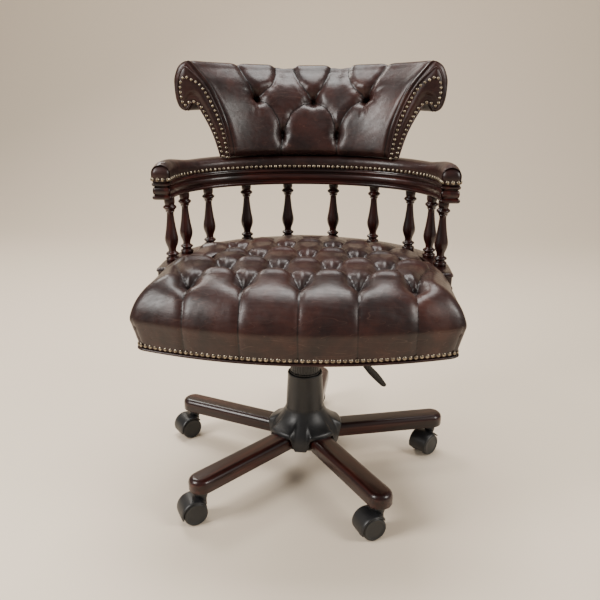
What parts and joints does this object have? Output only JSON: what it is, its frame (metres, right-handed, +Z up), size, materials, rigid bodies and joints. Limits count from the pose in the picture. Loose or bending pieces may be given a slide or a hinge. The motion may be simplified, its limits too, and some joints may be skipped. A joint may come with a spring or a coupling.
{
  "type": "swivel office chair",
  "caption": "Captain's swivel office chair with a buttoned leather seat and rolled back on a turned-spindle gallery, a gas-lift column and a five-legged wooden base on casters.",
  "frame": {"origin": "on the floor, under the middle of the chair's bounding box; the column stands 11 mm behind it", "axes": "+Z up, the chair's front faces -Y, +X is to the right as seen from the front"},
  "size_m": [0.6512, 0.6782, 0.8775],
  "materials": {
    "leather": "satin",
    "mahogany": "polished",
    "black_plastic": "satin",
    "black_steel": "satin",
    "bright_steel": "satin",
    "plywood": "matte",
    "nail_brass": "satin"
  },
  "bodies": {
    "base": {"base_hub": "black_plastic", "leg_1": "mahogany", "leg_2": "mahogany", "leg_3": "mahogany", "leg_4": "mahogany", "leg_5": "mahogany", "pedestal_tube": "black_steel", "cover_lower": "black_plastic", "thrust_bearing": "bright_steel", "guide_bush": "black_plastic", "caster_stem_1": "bright_steel", "caster_stem_2": "bright_steel", "caster_stem_3": "bright_steel", "caster_stem_4": "bright_steel", "caster_stem_5": "bright_steel"},
    "caster_1": {"caster_hood_1": "black_plastic"},
    "wheel_right_1": {"caster_wheel_right_1": "black_plastic"},
    "wheel_left_1": {"caster_wheel_left_1": "black_plastic"},
    "caster_2": {"caster_hood_2": "black_plastic"},
    "wheel_right_2": {"caster_wheel_right_2": "black_plastic"},
    "wheel_left_2": {"caster_wheel_left_2": "black_plastic"},
    "caster_3": {"caster_hood_3": "black_plastic"},
    "wheel_right_3": {"caster_wheel_right_3": "black_plastic"},
    "wheel_left_3": {"caster_wheel_left_3": "black_plastic"},
    "caster_4": {"caster_hood_4": "black_plastic"},
    "wheel_right_4": {"caster_wheel_right_4": "black_plastic"},
    "wheel_left_4": {"caster_wheel_left_4": "black_plastic"},
    "caster_5": {"caster_hood_5": "black_plastic"},
    "wheel_right_5": {"caster_wheel_right_5": "black_plastic"},
    "wheel_left_5": {"caster_wheel_left_5": "black_plastic"},
    "piston": {"piston_rod": "bright_steel"},
    "lift": {"gas_cylinder": "black_steel", "tilt_housing": "black_steel", "tilt_pin": "bright_steel", "cover_upper": "black_plastic", "tension_spring": "bright_steel"},
    "middle_cover": {"cover_middle": "black_plastic"},
    "lever": {"height_lever": "black_plastic"},
    "valve": {"valve_button": "bright_steel"},
    "seat": {"seat_plate": "black_steel", "seat_frame": "plywood", "seat_cushion": "leather", "gallery_plinth": "mahogany", "spindle_right_1": "mahogany", "spindle_right_2": "mahogany", "spindle_right_3": "mahogany", "spindle_right_4": "mahogany", "spindle_right_5": "mahogany", "spindle_left_1": "mahogany", "spindle_left_2": "mahogany", "spindle_left_3": "mahogany", "spindle_left_4": "mahogany", "spindle_left_5": "mahogany", "arm_rail": "mahogany", "arm_pad": "leather", "back_frame": "plywood", "back_cushion": "leather", "scroll_facing_right": "leather", "scroll_facing_left": "leather"},
    "knob": {"tension_knob": "black_plastic"}
  },
  "joints": [
    {"name": "caster_1_swivel", "type": "hinge", "parent": "base", "child": "caster_1", "pos_m": [0.29436, 0.08494, 0.06], "axis": [0, 0, 1], "continuous": true},
    {"name": "wheel_right_1_roll", "type": "hinge", "parent": "caster_1", "child": "wheel_right_1", "pos_m": [0.28116, 0.07127, 0.025], "axis": [0.7193, -0.6947, 0], "continuous": true},
    {"name": "wheel_left_1_roll", "type": "hinge", "parent": "caster_1", "child": "wheel_left_1", "pos_m": [0.28116, 0.07127, 0.025], "axis": [0.7193, -0.6947, 0], "continuous": true},
    {"name": "caster_2_swivel", "type": "hinge", "parent": "base", "child": "caster_2", "pos_m": [0.02064, 0.3138, 0.06], "axis": [0, 0, 1], "continuous": true},
    {"name": "wheel_right_2_roll", "type": "hinge", "parent": "caster_2", "child": "wheel_right_2", "pos_m": [0.00609, 0.30158, 0.025], "axis": [0.6428, -0.766, 0], "continuous": true},
    {"name": "wheel_left_2_roll", "type": "hinge", "parent": "caster_2", "child": "wheel_left_2", "pos_m": [0.00609, 0.30158, 0.025], "axis": [0.6428, -0.766, 0], "continuous": true},
    {"name": "caster_3_swivel", "type": "hinge", "parent": "base", "child": "caster_3", "pos_m": [-0.2816, 0.1242, 0.06], "axis": [0, 0, 1], "continuous": true},
    {"name": "wheel_right_3_roll", "type": "hinge", "parent": "caster_3", "child": "wheel_right_3", "pos_m": [-0.29657, 0.1125, 0.025], "axis": [0.6157, -0.788, 0], "continuous": true},
    {"name": "wheel_left_3_roll", "type": "hinge", "parent": "caster_3", "child": "wheel_left_3", "pos_m": [-0.29657, 0.1125, 0.025], "axis": [0.6157, -0.788, 0], "continuous": true},
    {"name": "caster_4_swivel", "type": "hinge", "parent": "base", "child": "caster_4", "pos_m": [-0.19468, -0.22183, 0.06], "axis": [0, 0, 1], "continuous": true},
    {"name": "wheel_right_4_roll", "type": "hinge", "parent": "caster_4", "child": "wheel_right_4", "pos_m": [-0.21146, -0.23075, 0.025], "axis": [0.4695, -0.8829, 0], "continuous": true},
    {"name": "wheel_left_4_roll", "type": "hinge", "parent": "caster_4", "child": "wheel_left_4", "pos_m": [-0.21146, -0.23075, 0.025], "axis": [0.4695, -0.8829, 0], "continuous": true},
    {"name": "caster_5_swivel", "type": "hinge", "parent": "base", "child": "caster_5", "pos_m": [0.16128, -0.2461, 0.06], "axis": [0, 0, 1], "continuous": true},
    {"name": "wheel_right_5_roll", "type": "hinge", "parent": "caster_5", "child": "wheel_right_5", "pos_m": [0.1442, -0.25443, 0.025], "axis": [0.4384, -0.8988, 0], "continuous": true},
    {"name": "wheel_left_5_roll", "type": "hinge", "parent": "caster_5", "child": "wheel_left_5", "pos_m": [0.1442, -0.25443, 0.025], "axis": [0.4384, -0.8988, 0], "continuous": true},
    {"name": "seat_swivel", "type": "hinge", "parent": "base", "child": "piston", "pos_m": [0, 0.011, 0.2], "axis": [0, 0, 1], "continuous": true},
    {"name": "seat_height", "type": "slide", "parent": "piston", "child": "lift", "axis": [0, 0, 1], "range_m": [0, 0.1]},
    {"name": "middle_cover_slide", "type": "slide", "parent": "piston", "child": "middle_cover", "axis": [0, 0, 1], "range_m": [0, 0.05]},
    {"name": "height_lever_pull", "type": "hinge", "parent": "lift", "child": "lever", "pos_m": [0.03, 0.011, 0.3708], "axis": [0, -1, 0], "range_deg": [0, 8], "stiffness_Nm_per_rad": 0.6, "springref_deg": -2.86},
    {"name": "valve_press", "type": "slide", "parent": "lift", "child": "valve", "axis": [0, 0, -1], "range_m": [0, 0.0042]},
    {"name": "seat_tilt", "type": "hinge", "parent": "lift", "child": "seat", "pos_m": [0, 0.043, 0.3515], "axis": [-1, 0, 0], "range_deg": [0, 12], "stiffness_Nm_per_rad": 150, "springref_deg": -14.32, "deforming": ["tension_spring"]},
    {"name": "tension_knob_turn", "type": "hinge", "parent": "seat", "child": "knob", "pos_m": [0, -0.057, 0.296], "axis": [0, 0, 1], "continuous": true}
  ],
  "couplings": [
    {"joint": "middle_cover_slide", "follows": "seat_height", "ratio": 0.5},
    {"joint": "valve_press", "follows": "height_lever_pull", "m_per_rad": 0.03}
  ]
}
